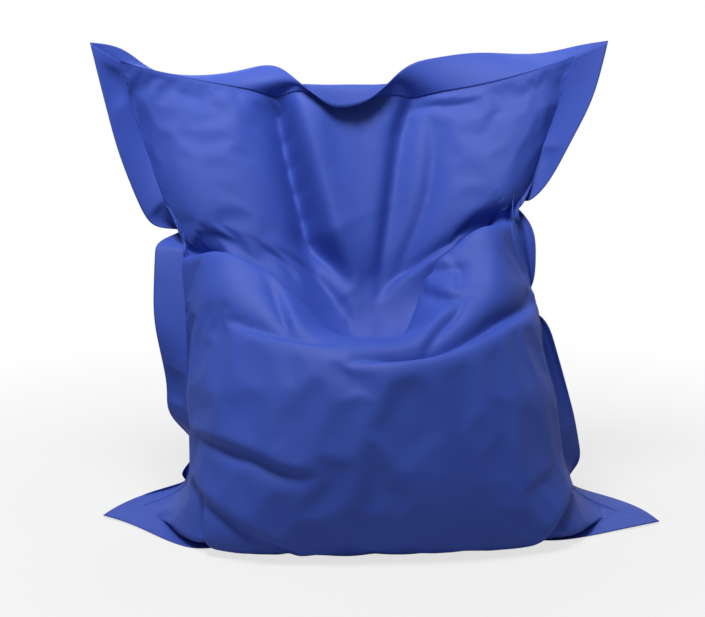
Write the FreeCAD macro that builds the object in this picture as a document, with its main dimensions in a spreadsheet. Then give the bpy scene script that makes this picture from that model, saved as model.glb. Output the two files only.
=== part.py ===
"""Bean bag chair: a flat pillow-shaped cover with a sewn margin all round, loosely
filled with foam beads and set up as a seat. Millimetres, +Z up, the seat faces -Y,
and the origin is on the floor under the middle of the whole object.

The cover is two panels. They meet along one seam that runs round the whole bag, and
outside that seam their sewn margins stand out as flaps. The form of the filled bag is
a fan of stations, from the bottom seam to the top seam: each station is a loop that
runs over the front panel from the left seam to the right seam and back behind.
"""
import FreeCAD
import Part
import Sketcher
import math
import os

Vector = FreeCAD.Vector

# ---------------------------------------------------------------- driving dimensions

SIZES = {
    "set_back": 34.0,
    "cloth_wall": 0.9,
    "fill_depth": 3.0,
    "fill_floor_gap": 1.1,
    "margin_width": 80.0,
    "margin_thickness": 1.8,
    "zip_length": 480.0,
    "tape_width": 16.0,
    "tape_thickness": 0.9,
    "tape_gap": 6.4,
    "tooth_pitch": 4.0,
    "tooth_root": 2.5,
    "tooth_tip": 1.5,
    "tooth_reach": 4.4,
    "tooth_height": 2.6,
    "slider_length": 15.0,
    "slider_width": 13.0,
    "slider_height": 6.6,
    "slider_corner": 2.0,
    "slider_wedge": 3.4,
    "channel_width": 7.4,
    "channel_height": 3.2,
    "tape_slot": 1.5,
    "lug_length": 8.0,
    "lug_height": 2.4,
    "lug_width": 3.0,
    "chain_length": 470.0,
    "tape_length": 510.0,
    "tape_depth": 1.75,
    "window_width": 15.6,
    "stop_length": 4.0,
    "stop_width": 2.0,
}

# Guide lines of the filled bag, one value per guide station, bottom seam first. The
# front line runs up the belly, over the rim, down into the dent of the seat and up
# the backrest. The back line runs along the floor and up the back.
GUIDES = {
    "front_y": (-350, -410, -432, -392, -300, -130, 20, 170, 285),
    "front_z": (9, 30, 190, 392, 492, 466, 455, 715, 1042),
    "back_y": (-350, -200, -20, 130, 226, 312, 352, 342, 285),
    "back_z": (9, 0, 0, 0, 96, 285, 500, 780, 1042),
    "left_x": (-585, -500, -456, -462, -465, -470, -488, -590, -648),
    "left_y": (-55, -15, -50, -50, -20, 30, 100, 150, 165),
    "left_z": (14, 40, 130, 270, 410, 550, 700, 920, 1137),
    "right_x": (625, 540, 486, 466, 438, 412, 368, 452, 528),
    "right_y": (-100, -45, -50, -50, -20, 30, 105, 150, 165),
    "right_z": (14, 42, 130, 270, 410, 560, 775, 930, 1150),
    "arm_y": (0, 0, 0, 15, 30, -20, 0, -60, 0),
    "arm_z": (0, 0, 0, 5, 35, 105, 150, 40, 0),
    "flat_half": (200, 200, 200, 200, 170, 150, 160, 290, 290),
    "roundness": (0, 1, 1, 1, 1, 1, 1, 0.6, 0),
    "back_roundness": (0, 0.1, 0.5, 0.9, 1, 1, 1, 1, 1),
    "power": (3.4, 3.4, 2.6, 2.2, 2, 2, 2, 2, 2),
    "edge_power": (3.2, 3.2, 3, 2, 2, 2, 2, 2, 2),
    "base_turn": (0.06, 0.06, 0.04, 0.02, 0, 0, 0, 0, 0),
}

# The power of the rise of a front row towards the seam.
LIFT_POWER = 3.4

# The rise of an arm across half the front, from the middle to the seam.
ARM_ACROSS = (0, 0.02, 0.24, 0.58, 0.84, 0.98, 1, 0.68, 0)

# Outer edges of the four margins: a station along the seam, then x, y and z. The side
# margins count the bag's own stations, and the other two count from left to right.
MARGIN_EDGES = {
    "left_margin": (
        (0, -680, -105, 6), (0.3, -650, -50, 12), (0.7, -570, 10, 30),
        (1.1, -490, 30, 50), (1.5, -492, 10, 80), (1.9, -462, 20, 125),
        (2.3, -470, 10, 180), (2.6, -508, 0, 228), (3.2, -525, 0, 310),
        (4, -546, 5, 440), (5, -558, 40, 560), (5.6, -558, 80, 650),
        (6, -498, 160, 700), (6.4, -580, 130, 730), (7, -640, 128, 872),
        (7.5, -676, 135, 1000), (8, -720, 150, 1186),
    ),
    "right_margin": (
        (0, 722, -150, 6), (0.3, 690, -80, 14), (0.7, 610, 10, 20),
        (1.1, 528, 30, 45), (1.6, 540, 10, 105), (2.1, 541, 5, 165),
        (2.7, 524, 0, 245), (3.3, 503, 0, 320), (3.9, 470, 5, 430),
        (4.6, 432, 65, 515), (5, 444, 75, 570), (5.4, 446, 85, 650),
        (6, 394, 160, 778), (6.4, 436, 135, 790), (7, 515, 130, 930),
        (7.5, 572, 135, 1053), (8, 608, 150, 1190),
    ),
    "bottom_margin": (
        (0, -680, -105, 6), (1, -580, -190, 3), (2, -462, -318, 1.1),
        (6, 455, -318, 1.1), (7, 600, -208, 3), (8, 722, -150, 6),
    ),
    "top_margin": (
        (0, -720, 150, 1186), (0.5, -640, 200, 1150), (1.1, -530, 270, 1098),
        (1.6, -440, 305, 1098), (2.1, -330, 320, 1118), (2.6, -245, 300, 1122),
        (2.9, -195, 250, 1090), (3.3, -130, 225, 1038), (3.8, -70, 220, 1018),
        (4.2, 0, 225, 1040), (4.7, 80, 265, 1112), (5.3, 170, 300, 1146),
        (6, 290, 315, 1160), (7, 460, 270, 1160), (7.5, 540, 205, 1178),
        (8, 608, 150, 1190),
    ),
}
# The share by which every margin leans from its outer edge towards the direction that
# stands straight out of the seam, and the steps over which it starts at each corner.
MARGIN_LEAN = 0.3
LEAN_STEPS = 3
# The bottom margin hangs this far below the seam. It stands out as an ear over some
# stations at each end, and between them it is tucked back under the bag, folded double
# so that it reaches only so far.
EAR_STATIONS = 2
TUCK_DROP = 2.5
TUCK_REACH = 30

# The main folds of the front: marks (station, side from -1 to 1, strength), a depth, a
# width and a lip, the share of the depth by which one bank rises and stands over it.
FOLDS = (
    (((8, -0.24, 0.5), (7.7, -0.22, 0.9), (7.1, -0.17, 1), (6.7, -0.11, 0.6), (6.5, -0.06, 0)), 50, 60, 0.5),
    (((8, 0.13, 1), (7.58, 0.09, 0.8), (7.18, 0.07, 0.7), (6.4, 0.03, 0)), 30, 50, -0.3),
    (((6, -0.92, 0.2), (5.75, -0.58, 1), (5.5, -0.35, 1), (5.3, -0.15, 0.3)), 45, 50, -0.4),
    (((6.3, 0.85, 0.3), (6.3, 0.5, 1), (6.1, 0.27, 1), (5.6, 0.12, 0.2)), 50, 50, 0.4),
    (((4.9, 0.8, 0.2), (4.16, 0.51, 0.8), (3.68, 0.23, 1), (3.62, -0.07, 0)), 34, 34, 0.5),
)
FOLD_STEPS = 8

FLOOR_STATIONS = (1, 3)
STATIONS = (0, 0.35, 0.7, 1, 1.5, 2, 2.5, 3, 3.25, 3.5, 3.75, 4, 4.25, 4.5, 4.75, 5, 5.25)
STATIONS += (5.5, 5.75, 6, 6.2, 6.4, 6.6, 6.8, 7, 7.2, 7.4, 7.8, 8)
# The beads don't reach into the sewn edges: the rows and columns that they fill.
FILL_ROWS = slice(3, -1)
FILL_COLUMNS = slice(2, -2)
LAST_STATION = 8
ZIP_STATIONS = (7.4, 7.8)
ZIP_RECESS_DEPTH = 7.5
ROW_STEPS = 28
STRAIGHT_STEPS = 5

# How far a point on a sharp edge may move in, in depths of the skin beside it.
MITRE_LIMIT = 1.5
# A skin is thinner towards the points of the four sewn corners: its share of the full
# depth at a corner point, and what each step away from it adds.
CORNER_SHARES = (0.08, 0.12)
KEY_DIGITS = 6
SMALLEST_FACET = 1e-3
FLOOR_CLEARANCE = 0.1
MITRE_GAP = 1.5
MARGIN_START = 0.6

# Clear room round the zip in the back panel and in the filling below it.
WINDOW_END_GAP = 2
WINDOW_CUT_DEPTH = 20
RECESS_EDGE_GAP = 5

# Forms inside the slider: how far its channel opens at the mouth, how far the cutting
# outlines pass its faces, and the wedge and the lug's hole as shares of their sizes.
MOUTH_SPREAD = 1.2
CUT_BEYOND = 1
WEDGE_START = 0.6
WEDGE_SHARES = (0.45, 0.85)
SLOT_START = 0.4
LUG_TOP = 0.6
LUG_HOLE_FEET = (0.45, 0.3)
LUG_HOLE_HEIGHTS = (0.3, 0.7)
SLIDER_END_GAP = 0.5
STOP_CHAMFER = 0.5


def make_sheet(doc):
    """The sheet of driving dimensions, with the guide lines below them."""
    sheet = doc.addObject("Spreadsheet::Sheet", "Dimensions")
    cells = dict(SIZES)
    for name, values in GUIDES.items():
        for station, value in enumerate(values):
            cells[f"{name}_{station}"] = value
    for row, (alias, value) in enumerate(cells.items(), start=1):
        sheet.set(f"A{row}", alias)
        sheet.set(f"B{row}", str(value))
        sheet.setAlias(f"B{row}", alias)
    doc.recompute()
    return sheet


# ---------------------------------------------------------------- form of the bag


def through(points):
    """A smooth curve through points, whose parameters are their x values."""
    curve = Part.BSplineCurve()
    curve.interpolate(Points=points, Parameters=[float(point.x) for point in points])
    return curve


class Form:
    """The bag's guide lines, read from the sheet and smooth between the stations."""

    def __init__(self, sheet):
        self.curves = {name: self.guide(sheet, name) for name in GUIDES}
        self.set_back = float(sheet.get("set_back"))
        self.arm = through([Vector(k, value, 0) for k, value in enumerate(ARM_ACROSS)])

    def guide(self, sheet, name):
        count = len(GUIDES[name])
        return through([Vector(k, float(sheet.get(f"{name}_{k}")), 0) for k in range(count)])

    def at(self, name, station):
        if name.endswith("_z") and station < 1:
            low, high = [self.curves[name].value(k).y for k in (0, 1)]
            return low + (high - low) * station
        value = self.curves[name].value(station).y
        return min(max(value, 0.0), 1.0) if name.endswith("roundness") else value

    def point(self, side, station):
        """A point of a guide line, such as front, back, left or right."""
        if side in ("front", "back"):
            height = max(self.at(side + "_z", station), 0.0)
            if side == "back" and FLOOR_STATIONS[0] <= station <= FLOOR_STATIONS[1]:
                height = 0.0
            return Vector(0, self.at(side + "_y", station) + self.set_back, height)
        x, y, z = [self.at(f"{side}_{axis}", station) for axis in "xyz"]
        return Vector(x, y + self.set_back, z)

    def across(self, middle, seam, share, roundness, power=2.0, edge_power=2.0, lift=None):
        """A point between a middle point and a seam point, share 0 to 1 of the way
        across, on a quarter of an ellipse, squarer with more power (roundness 1), or on
        a plain power curve (roundness 0). With a lift, the height follows that power in
        place of the ellipse."""
        ellipse = 1 - max(1 - share**power, 0) ** (1 / power)
        plain = (1 - roundness) * share**edge_power
        drop = roundness * ellipse + plain
        rise = roundness * share**lift + plain if lift else drop
        return Vector(
            middle.x + (seam.x - middle.x) * share,
            middle.y + (seam.y - middle.y) * drop,
            middle.z + (seam.z - middle.z) * rise,
        )

    def front_point(self, station, side):
        """A point of the front panel, side -1 at the left seam to 1 at the right one."""
        share = abs(math.sin(side * math.pi / 2))
        seam = self.point("left" if side < 0 else "right", station)
        place = self.across(
            self.point("front", station),
            seam,
            share,
            self.at("roundness", station),
            self.at("power", station),
            self.at("edge_power", station),
            LIFT_POWER,
        )
        rise = self.arm.value(share * (len(ARM_ACROSS) - 1)).y
        turn = self.at("base_turn", station) * place.x * (1 - share**4)
        return place + Vector(
            0,
            turn + self.at("arm_y", station) * rise,
            self.at("arm_z", station) * rise,
        )

    def front_row(self, station):
        """Points over the front panel, from the left seam to the right one."""
        sides = [2.0 * step / ROW_STEPS - 1 for step in range(ROW_STEPS + 1)]
        return [self.front_point(station, side) for side in sides]

    def back_row(self, station):
        """Points over the back panel, from the left seam to the right one: a round
        shoulder, a straight middle and a second shoulder."""
        middle = self.point("back", station)
        half = self.at("flat_half", station)
        row = []
        for step in range(ROW_STEPS + 1):
            sign = -1 if step < ROW_STEPS / 2 else 1
            turn = abs(step - ROW_STEPS / 2) - STRAIGHT_STEPS
            start = Vector(sign * half, middle.y, middle.z)
            if turn <= 0:
                row.append(Vector(sign * half * (1 + turn / STRAIGHT_STEPS), middle.y, middle.z))
                continue
            share = math.sin(turn / (ROW_STEPS / 2 - STRAIGHT_STEPS) * math.pi / 2)
            seam = self.point("left" if sign < 0 else "right", station)
            row.append(self.across(start, seam, share, self.at("back_roundness", station)))
        return row


def fold_line(form, marks):
    """Short steps along a fold: a point of the form and the fold's strength there."""
    steps = []
    for (v0, s0, k0), (v1, s1, k1) in zip(marks, marks[1:]):
        for step in range(FOLD_STEPS):
            t = step / FOLD_STEPS
            place = form.front_point(v0 + (v1 - v0) * t, s0 + (s1 - s0) * t)
            steps.append((place, k0 + (k1 - k0) * t))
    return steps


def fold_move(place, normal, steps, depth, width, lip):
    """How far a fold moves a point outwards along its normal."""
    nearest = min(range(len(steps) - 1), key=lambda k: (steps[k][0] - place).Length)
    here, strength = steps[nearest]
    gap = (place - here).Length
    run = steps[nearest + 1][0] - here
    over = run.cross(place - here).dot(normal) * lip > 0
    sink = math.exp(-((gap / (0.45 * width if over else width)) ** 1.4))
    rise = abs(lip) * gap / width * math.exp(1 - gap / width) if over else 0
    return depth * strength * (rise - sink)


def folded(form, rows):
    """Front rows with the folds pressed into them."""
    lines = [(fold_line(form, marks), *sizes) for marks, *sizes in FOLDS]
    pressed = [list(row) for row in rows]
    for k in range(1, len(rows) - 1):
        for j in range(1, ROW_STEPS):
            normal = slope(rows, k, j)
            moves = [fold_move(rows[k][j], normal, *line) for line in lines]
            pressed[k][j] = rows[k][j] + normal * sum(moves)
    return pressed


def slope(rows, k, j):
    """The unit normal of the skin at a point of its rows."""
    across = rows[k][j + 1] - rows[k][j - 1]
    along = rows[min(k + 1, len(rows) - 1)][j] - rows[max(k - 1, 0)][j]
    return across.cross(along).normalize()


class Skin:
    """One closed skin of the bag, as rows of points over its front, from left to right,
    and over its back, from right to left. The two share the points on the seams."""

    def __init__(self, front, back):
        self.front = front
        self.back = back

    def inset(self, depth, floor_gap):
        """The same skin moved inwards by depth. What is on the floor rises by floor_gap."""
        faces = self.faces_round()

        def moved(rows, k, j):
            here = rows[k][j]
            around, count = faces[key_of(here)]
            steps = min(k, len(rows) - 1 - k) + min(j, ROW_STEPS - j)
            local = depth * min(CORNER_SHARES[0] + CORNER_SHARES[1] * steps, 1)
            far = local * min(count / around.Length, MITRE_LIMIT)
            place = here - Vector(around).normalize() * far
            return Vector(place.x, place.y, floor_gap if here.z == 0 else max(place.z, floor_gap))

        columns = range(ROW_STEPS + 1)
        return Skin(
            *[
                [[moved(rows, k, j) for j in columns] for k in range(len(rows))]
                for rows in (self.front, self.back)
            ]
        )

    def faces_round(self):
        """For each point the sum of its faces' outward unit normals, and their count."""
        found = {}
        for a, b, c in facets(self.front) + facets(self.back):
            normal = (b - a).cross(c - a).normalize()
            for corner in (a, b, c):
                total, count = found.get(key_of(corner), (Vector(), 0))
                found[key_of(corner)] = (total + normal, count + 1)
        return found

    def block(self, rows, columns):
        """The solid between a range of rows and columns, with flat sides and ends."""
        front = [row[columns] for row in self.front[rows]]
        back = [row[columns] for row in self.back[rows]]
        triangles = facets(front) + facets(back)
        for end in (0, -1):
            triangles += facets([front[end], back[end][::-1]])
            triangles += facets([[row[end] for row in front], [row[-1 - end] for row in back]])
        return closed(triangles)


def key_of(place):
    return tuple(round(value, KEY_DIGITS) for value in place)


def outer_skin(form, stations):
    """The outside of the bag."""
    front = folded(form, [form.front_row(station) for station in stations])
    back = [form.back_row(station)[::-1] for station in stations]
    for end in (0, -1):
        back[end] = front[end][::-1]
    return Skin(front, back)


def facets(rows):
    """Flat triangles that join the points of each row to those of the next."""
    found = []
    for row, above in zip(rows, rows[1:]):
        for j in range(len(row) - 1):
            found.append((row[j], row[j + 1], above[j + 1]))
            found.append((row[j], above[j + 1], above[j]))
    return found


def sewn(triangles):
    faces = []
    for a, b, c in triangles:
        if (b - a).cross(c - a).Length > SMALLEST_FACET:
            faces.append(Part.Face(Part.makePolygon([a, b, c, a])))
    shell = Part.makeShell(faces)
    shell.sewShape()
    return Part.makeSolid(shell)


def closed(triangles):
    """The solid that a closed set of flat triangles bounds, its faces outwards."""
    solid = sewn(triangles)
    if solid.Volume < 0:
        solid = sewn([(a, c, b) for a, b, c in triangles])
    return solid


def panel(outer, inner):
    """One cloth panel between the rows of an outer and an inner skin."""
    rims = [
        [[row[0] for row in outer], [row[0] for row in inner]],
        [[row[-1] for row in outer], [row[-1] for row in inner]],
        [outer[0], inner[0]],
        [outer[-1], inner[-1]],
    ]
    triangles = facets(outer) + facets(inner)
    for rim in rims:
        triangles += facets(rim)
    return closed(triangles)


# ---------------------------------------------------------------- margins


def edge_line(name):
    """The outer edge of a margin, by the station along its seam."""
    rows = MARGIN_EDGES[name]
    curve = Part.BSplineCurve()
    points = [Vector(x, y, z) for station, x, y, z in rows]
    curve.interpolate(Points=points, Parameters=[float(row[0]) for row in rows])
    return curve


def strip(seam, outer, thickness):
    """A closed strip of double cloth from a seam to an outer edge, a little short at
    both ends, where it meets the next one."""
    near, far = [], []
    for line, shortened in ((seam, near), (outer, far)):
        shortened.extend(line)
        shortened[0] = line[0] + (line[1] - line[0]).normalize() * MITRE_GAP
        shortened[-1] = line[-1] + (line[-2] - line[-1]).normalize() * MITRE_GAP
    floor = thickness / 2 + FLOOR_CLEARANCE
    upper, lower = [], []
    for k, (root, tip) in enumerate(zip(near, far)):
        root = root + (tip - root).normalize() * MARGIN_START
        root = Vector(root.x, root.y, max(root.z, floor))
        tip = Vector(tip.x, tip.y, max(tip.z, floor))
        run = near[min(k + 1, len(near) - 1)] - near[max(k - 1, 0)]
        thick = run.cross(tip - root).normalize() * (thickness / 2)
        upper.append([root + thick, tip + thick])
        lower.append([root - thick, tip - thick])
    triangles = facets(upper) + facets(lower)
    for i in (0, 1):
        triangles += facets([[pair[i] for pair in upper], [pair[i] for pair in lower]])
    for end in (0, -1):
        triangles += facets([upper[end], lower[end]])
    return closed(triangles)


def leaning(faces, seam, outer, width):
    """An outer edge moved towards the direction that stands straight out of the seam."""
    moved = []
    for k, (root, tip) in enumerate(zip(seam, outer)):
        out = Vector(faces[key_of(root)][0]).normalize() * width
        lean = MARGIN_LEAN * min(k / LEAN_STEPS, (len(seam) - 1 - k) / LEAN_STEPS, 1)
        moved.append(tip + (root + out - tip) * lean)
    return moved


def margins(skin, form, width, thickness):
    """The four margins by node name."""
    back = Vector(0, form.set_back, 0)
    faces = skin.faces_round()
    made = {}
    for name, side in (("left_margin", 0), ("right_margin", -1)):
        edge = edge_line(name)
        seam = [row[side] for row in skin.front]
        outer = leaning(faces, seam, [edge.value(v) + back for v in STATIONS], width)
        made[name] = strip(seam, outer, thickness)
    stations = [LAST_STATION * step / ROW_STEPS for step in range(ROW_STEPS + 1)]
    edge = edge_line("top_margin")
    seam = skin.front[-1]
    outer = leaning(faces, seam, [edge.value(v) + back for v in stations], width)
    made["top_margin"] = strip(seam, outer, thickness)
    edge = edge_line("bottom_margin")
    outer = [edge.value(v) + back for v in stations]
    hung = [point - Vector(0, 0, TUCK_DROP) for point in skin.front[0]]
    ear = round(ROW_STEPS * EAR_STATIONS / LAST_STATION)
    tucked = hung[ear:-ear]
    reach = [Vector(point.x, point.y + TUCK_REACH, 0) for point in tucked]
    made["bottom_margin"] = Part.makeCompound(
        [
            strip(hung[: ear + 1], outer[: ear + 1], thickness),
            strip(tucked, reach, thickness),
            strip(hung[-ear - 1 :], outer[-ear - 1 :], thickness),
        ]
    )
    return made


# ---------------------------------------------------------------- zip


def zip_place(form):
    """The zip's own frame: x along the zip, y up the back, z out of the cloth."""
    low, high = [form.point("back", station) for station in ZIP_STATIONS]
    along = Vector(-1, 0, 0)
    up = (high - low).normalize()
    turn = FreeCAD.Rotation(along, up, along.cross(up), "ZXY")
    return FreeCAD.Placement((low + high) * 0.5, turn)


def put(feature, frame, x, y, z):
    """Stand a feature at a place in the zip's frame."""
    feature.Placement = frame * FreeCAD.Placement(Vector(x, y, z), FreeCAD.Rotation())


def bound(feature, **sizes):
    """Tie properties of a feature to expressions on the sheet."""
    for name, expression in sizes.items():
        feature.setExpression(name, expression)


def new_body(doc, label):
    body = doc.addObject("PartDesign::Body", label)
    body.Label = label
    return body


def new_sketch(body, name, role):
    """A sketch on one of the body's own origin planes."""
    sketch = body.newObject("Sketcher::SketchObject", name)
    plane = [item for item in body.Origin.OriginFeatures if item.Role == role][0]
    sketch.AttachmentSupport = [(plane, "")]
    sketch.MapMode = "FlatFace"
    return sketch


def outline(sketch, points):
    """A closed run of lines through the points, joined at their ends. It returns the
    number of its first line."""
    first = sketch.GeometryCount
    count = len(points)
    for j, (x, y) in enumerate(points):
        x2, y2 = points[(j + 1) % count]
        sketch.addGeometry(Part.LineSegment(Vector(x, y, 0), Vector(x2, y2, 0)))
    for j in range(count):
        joined = Sketcher.Constraint("Coincident", first + j, 2, first + (j + 1) % count, 1)
        sketch.addConstraint(joined)
    return first


def measure(sketch, kind, spots, expression):
    """A dimension between two points of a sketch, tied to the sheet. A spot is a
    line's number and its end, 1 or 2, and the origin is (-1, 1)."""
    (line_a, end_a), (line_b, end_b) = spots
    start = sketch.getPoint(line_a, end_a)
    stop = sketch.getPoint(line_b, end_b)
    value = stop.x - start.x if kind == "DistanceX" else stop.y - start.y
    number = sketch.addConstraint(
        Sketcher.Constraint(kind, line_a, end_a, line_b, end_b, value)
    )
    sketch.setExpression(f"Constraints[{number}]", expression)


def sizes_of(sheet, *names):
    return [float(sheet.get(name)) for name in names]


def teeth(doc, label, sheet):
    """One half of the zip's chain: teeth that stand out from a tape's edge over the
    middle line, each wider at its root, repeated along the tape."""
    gap, reach, root, tip = sizes_of(sheet, "tape_gap", "tooth_reach", "tooth_root", "tooth_tip")
    body = new_body(doc, label)
    sketch = new_sketch(body, label + "_outline", "XY_Plane")
    base = -gap / 2
    head = base + reach
    line = outline(
        sketch, [(-root / 2, base), (root / 2, base), (tip / 2, head), (-tip / 2, head)]
    )
    for edge in (line, line + 2):
        sketch.addConstraint(Sketcher.Constraint("Symmetric", edge, 1, edge, 2, -2))
    measure(sketch, "DistanceX", ((line, 1), (line, 2)), "Dimensions.tooth_root")
    measure(sketch, "DistanceX", ((line + 2, 2), (line + 2, 1)), "Dimensions.tooth_tip")
    measure(sketch, "DistanceY", ((line, 2), (line + 2, 1)), "Dimensions.tooth_reach")
    measure(sketch, "DistanceY", ((line, 1), (-1, 1)), "Dimensions.tape_gap / 2")
    pad = body.newObject("PartDesign::Pad", label + "_tooth")
    pad.Profile = sketch
    pad.SideType = "Symmetric"
    bound(pad, Length="Dimensions.tooth_height")
    doc.recompute()
    pattern = body.newObject("PartDesign::LinearPattern", label + "_row")
    pattern.Originals = [pad]
    pattern.Direction = (sketch, ["H_Axis"])
    pattern.Mode = "Spacing"
    bound(
        pattern,
        Offset="Dimensions.tooth_pitch",
        Occurrences="floor(Dimensions.chain_length / Dimensions.tooth_pitch)",
    )
    body.Tip = pattern
    return body


def slider(doc, label, sheet):
    """The zip's slider: two plates round a Y-shaped channel, a wedge between its
    branches, slots for the tapes at both sides, and a lug with no pull tab on it."""
    length, width, height = sizes_of(sheet, "slider_length", "slider_width", "slider_height")
    channel, slot, wedge = sizes_of(sheet, "channel_width", "tape_slot", "slider_wedge")
    lug_length, lug_height = sizes_of(sheet, "lug_length", "lug_height")
    body = new_body(doc, label)

    plan = new_sketch(body, "slider_plan", "XY_Plane")
    x, y = length / 2, width / 2
    line = outline(plan, [(-x, -y), (x, -y), (x, y), (-x, y)])
    measure(plan, "DistanceX", ((line, 1), (line, 2)), "Dimensions.slider_length")
    measure(plan, "DistanceX", ((line, 1), (-1, 1)), "Dimensions.slider_length / 2")
    measure(plan, "DistanceY", ((line, 1), (-1, 1)), "Dimensions.slider_width / 2")
    measure(plan, "DistanceY", ((line + 1, 1), (line + 1, 2)), "Dimensions.slider_width")
    block = body.newObject("PartDesign::Pad", "slider_block")
    block.Profile = plan
    block.SideType = "Symmetric"
    bound(block, Length="Dimensions.slider_height")
    doc.recompute()

    corners = body.newObject("PartDesign::Fillet", "slider_corners")
    upright = [
        f"Edge{number}"
        for number, edge in enumerate(block.Shape.Edges, start=1)
        if abs(edge.tangentAt(edge.FirstParameter).z) > 0.99
    ]
    corners.Base = (block, upright)
    bound(corners, Radius="Dimensions.slider_corner")
    doc.recompute()

    way = new_sketch(body, "slider_channel", "XY_Plane")
    spread = channel / 2 + MOUTH_SPREAD
    beyond = x + CUT_BEYOND
    outline(
        way,
        [(-beyond, -channel / 2), (0, -channel / 2), (beyond, -spread)]
        + [(beyond, spread), (0, channel / 2), (-beyond, channel / 2)],
    )
    broad, tip = [share * x for share in WEDGE_SHARES]
    outline(way, [(WEDGE_START, 0), (broad, -wedge / 2), (tip, 0), (broad, wedge / 2)])
    bore = body.newObject("PartDesign::Pocket", "slider_way")
    bore.Profile = way
    bore.SideType = "Symmetric"
    bound(bore, Length="Dimensions.channel_height")
    doc.recompute()

    sides = new_sketch(body, "slider_tape_slots", "YZ_Plane")
    inner, outer = SLOT_START * channel, y + CUT_BEYOND
    outline(sides, [(inner, -slot / 2), (outer, -slot / 2), (outer, slot / 2), (inner, slot / 2)])
    outline(sides, [(-outer, -slot / 2), (-inner, -slot / 2), (-inner, slot / 2), (-outer, slot / 2)])
    slots = body.newObject("PartDesign::Pocket", "slider_slots")
    slots.Profile = sides
    slots.SideType = "Symmetric"
    bound(slots, Length="Dimensions.slider_length * 2")
    doc.recompute()

    profile = new_sketch(body, "slider_lug_profile", "XZ_Plane")
    base, top = height / 2, height / 2 + lug_height
    foot = lug_length / 2
    peak = LUG_TOP * foot
    outline(profile, [(-foot, base), (foot, base), (peak, top), (-peak, top)])
    wide, narrow = [share * foot for share in LUG_HOLE_FEET]
    low, high = [base + share * lug_height for share in LUG_HOLE_HEIGHTS]
    outline(profile, [(-wide, low), (wide, low), (narrow, high), (-narrow, high)])
    lug = body.newObject("PartDesign::Pad", "slider_lug")
    lug.Profile = profile
    lug.SideType = "Symmetric"
    bound(lug, Length="Dimensions.lug_width")
    body.Tip = lug
    return body


def tape(doc, label, side, sheet, frame):
    """One woven tape of the zip, sewn behind the cloth beside the window."""
    box = doc.addObject("Part::Box", label)
    box.Label = label
    bound(
        box,
        Length="Dimensions.tape_length",
        Width="Dimensions.tape_width",
        Height="Dimensions.tape_thickness",
    )
    length, width, thick, gap, depth = sizes_of(
        sheet, "tape_length", "tape_width", "tape_thickness", "tape_gap", "tape_depth"
    )
    near = gap / 2 if side > 0 else -gap / 2 - width
    put(box, frame, -length / 2, near, -depth - thick / 2)
    return box


def stop(doc, label, sheet, frame, x, y, width):
    """A small stop pressed on at an end of the chain."""
    block = doc.addObject("Part::Box", label + "_block")
    bound(block, Length="Dimensions.stop_length", Height="Dimensions.tooth_height")
    if width:
        block.Width = width
    else:
        bound(block, Width="Dimensions.stop_width")
    doc.recompute()
    worn = doc.addObject("Part::Chamfer", label)
    worn.Label = label
    worn.Base = block
    tops = [
        (number, STOP_CHAMFER, STOP_CHAMFER)
        for number, edge in enumerate(block.Shape.Edges, start=1)
        if edge.BoundBox.ZMin > block.Height.Value - 0.01
    ]
    worn.Edges = tops
    depth, height = sizes_of(sheet, "tape_depth", "tooth_height")
    put(worn, frame, x, y, -depth - height / 2)
    return worn


def zip_pieces(doc, sheet, form):
    """All pieces of the zip, closed, each as an object of the document."""
    frame = zip_place(form)
    zip_length, chain, pitch, root = sizes_of(
        sheet, "zip_length", "chain_length", "tooth_pitch", "tooth_root"
    )
    gap, depth, slider_length = sizes_of(sheet, "tape_gap", "tape_depth", "slider_length")
    stop_length, stop_width = sizes_of(sheet, "stop_length", "stop_width")
    start = -zip_length / 2
    pieces = [tape(doc, "zip_tape_lower", -1, sheet, frame)]
    pieces.append(tape(doc, "zip_tape_upper", 1, sheet, frame))

    lower = teeth(doc, "zip_teeth_lower", sheet)
    put(lower, frame, start + root, 0, -depth)
    upper = teeth(doc, "zip_teeth_upper", sheet)
    turned = FreeCAD.Placement(Vector(), FreeCAD.Rotation(Vector(0, 0, 1), 180))
    count = math.floor(chain / pitch)
    put(upper, frame, start + root + pitch / 2 + (count - 1) * pitch, 0, -depth)
    upper.Placement = upper.Placement * turned
    pieces += [lower, upper]

    pull = slider(doc, "zip_slider", sheet)
    put(pull, frame, zip_length / 2 - slider_length / 2 - SLIDER_END_GAP, 0, -depth)
    pieces.append(pull)

    closed_end = zip_length / 2
    pieces.append(
        stop(doc, "zip_end_stop", sheet, frame, start - stop_length, -gap / 2, gap)
    )
    for label, near in (("zip_top_stop_lower", -gap / 2), ("zip_top_stop_upper", gap / 2 - stop_width)):
        pieces.append(stop(doc, label, sheet, frame, closed_end, near, None))
    return pieces


def box_at(frame, length, width, low, high):
    """A box in the zip's frame, centred along and across it."""
    box = Part.makeBox(length, width, high - low, Vector(-length / 2, -width / 2, low))
    box.Placement = frame
    return box


# ---------------------------------------------------------------- the whole chair


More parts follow.
